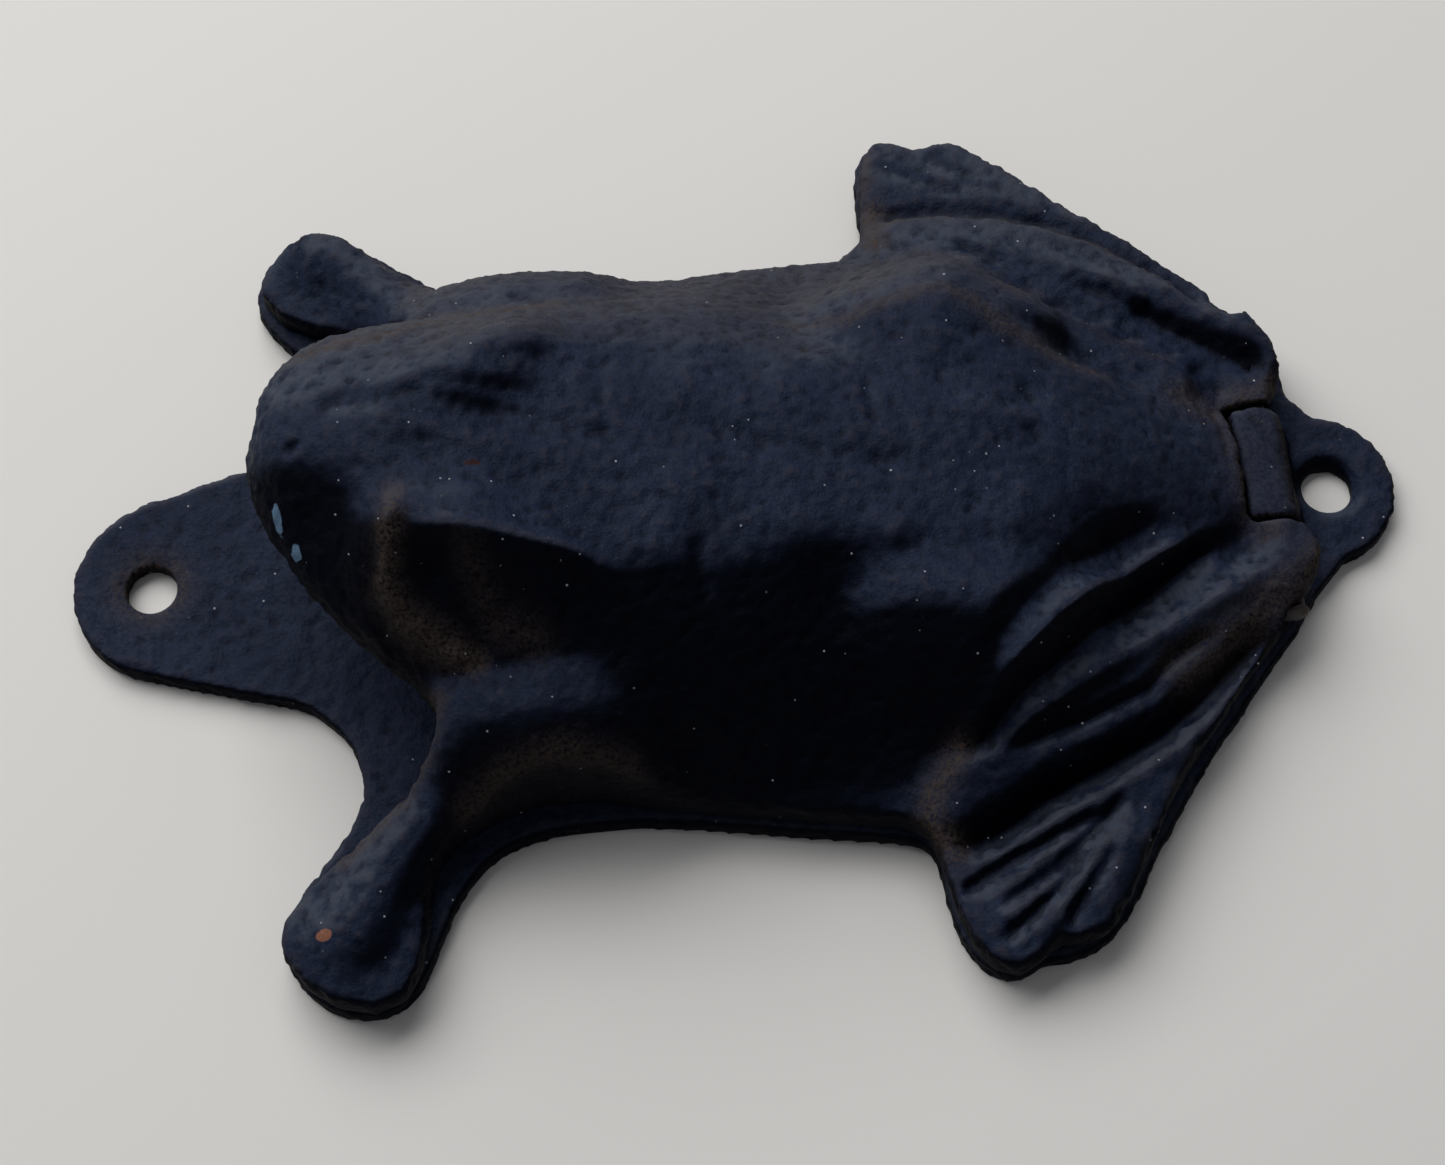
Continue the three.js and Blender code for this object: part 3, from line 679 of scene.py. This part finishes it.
def paint_wear_and_light(n, relief, lit_amount, cloud, patch, grain):
    """Navy paint of uneven worn tone, with a painted highlight on the faces turned to the light, and
    painted shade in the pits and on the near-side faces turned away from it.
    """
    wear = n.math("ADD", n.math("MULTIPLY", cloud, 0.3), n.math("MULTIPLY", patch, 0.3))
    wear = n.math("ADD", wear, n.math("MULTIPLY", grain, 0.4))
    color = n.mix(n.span(wear, 0.34, 0.54), DEEP_NAVY, NAVY)
    color = n.mix(n.span(wear, 0.5, 0.68), color, BLUE_GREY)
    # Painted highlight on the faces turned to the light, broken into patches
    highlight = n.math("MULTIPLY", n.span(lit_amount, 0.8, 1.0), n.span(patch, 0.3, 0.6))
    color = n.mix(highlight, color, HIGHLIGHT_BLUE)
    # Painted shade in the pits of the cast skin
    color = n.mix(n.span(relief, 0.0, -0.16, 0.0, 0.5), color, SHADE_BLACK)
    # Painted shade on the faces turned away from the light
    return n.mix(n.span(lit_amount, 0.66, 0.2, 0.0, 0.94), color, SHADE_BLACK)


def dust_and_sheen_amount(n, relief, lit_amount, patch, grain, dust_level):
    """The dust colour on the raised grain, only where the faces turn to the light, part dust and part
    painted highlight; and dust in the folds, with a painted sheen on the far side.
    """
    ridge = n.math("ADD", n.math("MULTIPLY", relief, 3.0), n.math("MULTIPLY", patch, 0.5))
    # Dust colour on the raised grain only where the faces turn to the light: part dust, part painted
    # highlight
    lit_raised = n.math("MULTIPLY", n.span(ridge, 0.3, 0.8), n.span(lit_amount, 0.3, 0.65, 0.0, dust_level))
    lying = n.math("MULTIPLY", n.attribute("dust_and_sheen"), n.span(grain, 0.3, 0.62))
    return n.math("MAXIMUM", lit_raised, lying)


def white_specks(n):
    """Small round specks, scattered in loose clusters."""
    specks = n.add("ShaderNodeTexVoronoi", feature="F1")
    specks.inputs["Scale"].default_value = 1 / (SPECK_SPACING * MM)
    specks.inputs["Randomness"].default_value = 1.0
    n.link(n.place, specks.inputs["Vector"])
    speck = n.span(specks.outputs["Distance"], 0.08, 0.05)
    cluster = n.span(n.noise(SPECK_CLUSTER_SIZE, 2), 0.48, 0.6)
    return n.math("MULTIPLY", speck, cluster)


def painted_iron(name, pit_size, bump_strength, dust_level, marks=()):
    """Old navy paint over rough cast iron, with dust in the folds, painted highlight and shade by how
    each face turns to the light, and the dust colour on raised grain turned to the light, part dust and
    part painted highlight.
    """
    n = Nodes(name)
    relief = n.attribute("relief")
    lit_amount = n.attribute("lit_amount")
    cloud = n.noise(CLOUD_SIZE, 3)
    patch = n.noise(PATCH_SIZE, 5, 0.6)
    grain = n.noise(pit_size, 5, 0.65)
    color = paint_wear_and_light(n, relief, lit_amount, cloud, patch, grain)
    dust_and_sheen = dust_and_sheen_amount(n, relief, lit_amount, patch, grain, dust_level)
    # Dust colour: dust in the folds, and a painted sheen and highlight on faces turned to the light
    color = n.mix(dust_and_sheen, color, RUST_DUST_AND_SHEEN)
    color = n.mix(white_specks(n), color, WHITE_DUST)
    for mark in marks:
        color = paint_mark(n, color, mark)
    n.link(color, n.shader.inputs["Base Color"])
    rough = n.math("ADD", n.span(patch, 0.3, 0.8, 0.46, 0.62), n.math("MULTIPLY", dust_and_sheen, 0.3))
    n.link(rough, n.shader.inputs["Roughness"])
    # Stronger specular on faces turned to the light
    n.link(n.span(lit_amount, 0.2, 0.64, 0.03, 0.09), n.shader.inputs["Specular IOR Level"])
    n.bump_map(grain, bump_strength, 0.25)
    return n.material


def pin_metal():
    """Dull hammered steel with rust stains."""
    n = Nodes("hammered_steel")
    stain = n.noise(1.4, 5, 0.6)
    color = n.mix(n.span(stain, 0.35, 0.65), DULL_STEEL, RUST_STAIN)
    n.link(color, n.shader.inputs["Base Color"])
    n.link(n.span(stain, 0.3, 0.7, 0.35, 0.7), n.shader.inputs["Roughness"])
    n.shader.inputs["Metallic"].default_value = 0.7
    n.bump_map(n.noise(0.8, 3), 0.5, 0.2)
    return n.material


# ---------------------------------------------------------------- camera, floor and light

FLOOR_HALF_SIDE = 3.0
FLOOR_GAP = 0.05 * MM
FLOOR_COLOR = (0.64, 0.63, 0.615)


def make_camera():
    camera = bpy.data.objects.new("camera", bpy.data.cameras.new("camera"))
    camera.data.lens = CAMERA_LENS
    camera.data.sensor_width = SENSOR_WIDTH
    camera.data.sensor_fit = "HORIZONTAL"
    camera.data.clip_start = 0.01
    turn = (CAMERA_AIM - CAMERA_PLACE).to_track_quat("-Z", "Y").to_matrix()
    rolled = turn @ Matrix.Rotation(CAMERA_ROLL, 3, "Z")
    camera.matrix_world = Matrix.Translation(CAMERA_PLACE) @ rolled.to_4x4()
    bpy.context.scene.collection.objects.link(camera)
    bpy.context.scene.camera = camera


def make_floor():
    mesh = bpy.data.meshes.new("floor")
    half = FLOOR_HALF_SIDE
    corners = [(-half, -half, 0), (half, -half, 0), (half, half, 0), (-half, half, 0)]
    mesh.from_pydata(corners, [], [(0, 1, 2, 3)])
    floor = bpy.data.objects.new("floor", mesh)
    floor.location.z = PLATE_LOW.z - FLOOR_GAP
    bpy.context.scene.collection.objects.link(floor)
    material = bpy.data.materials.new("pale_floor")
    material.use_nodes = True
    shader = material.node_tree.nodes["Principled BSDF"]
    shader.inputs["Base Color"].default_value = (*FLOOR_COLOR, 1)
    shader.inputs["Roughness"].default_value = 0.7
    mesh.materials.append(material)


def make_area_light(name, place, aim, size, power, color):
    light = bpy.data.lights.new(name, "AREA")
    light.shape = "RECTANGLE"
    light.size, light.size_y = size
    light.energy = power
    light.color = color
    lamp = bpy.data.objects.new(name, light)
    lamp.location = place
    lamp.rotation_euler = (Vector(aim) - Vector(place)).to_track_quat("-Z", "Y").to_euler()
    bpy.context.scene.collection.objects.link(lamp)


def make_light():
    """A dim even room, and one big window light behind the frog's far shoulder."""
    world = bpy.data.worlds.new("room")
    world.use_nodes = True
    background = world.node_tree.nodes["Background"]
    background.inputs["Color"].default_value = (0.93, 0.95, 1.0, 1)
    background.inputs["Strength"].default_value = 0.2
    bpy.context.scene.world = world
    make_area_light("window", (-0.33, 0.62, 0.82), (0, 0.05, 0), (1.2, 0.95), 14.8, (1.0, 0.99, 0.97))


# ---------------------------------------------------------------- put together

bpy.context.scene.view_settings.view_transform = "Standard"
make_camera()
make_floor()
make_light()

frog = make_frog()
frog.data.materials.append(painted_iron("frog_paint", 0.45, 0.8, 0.2, MARKS))
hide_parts("frog_casting")
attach(frog, "frog")

plate = make_plate()
plate.data.materials.append(painted_iron("plate_paint", 0.6, 1.0, 0.16))
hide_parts("back_plate")
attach(plate, "plate")

pin = make_pin()
pin.data.materials.append(pin_metal())
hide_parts("hinge_pin")
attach(pin, "plate")
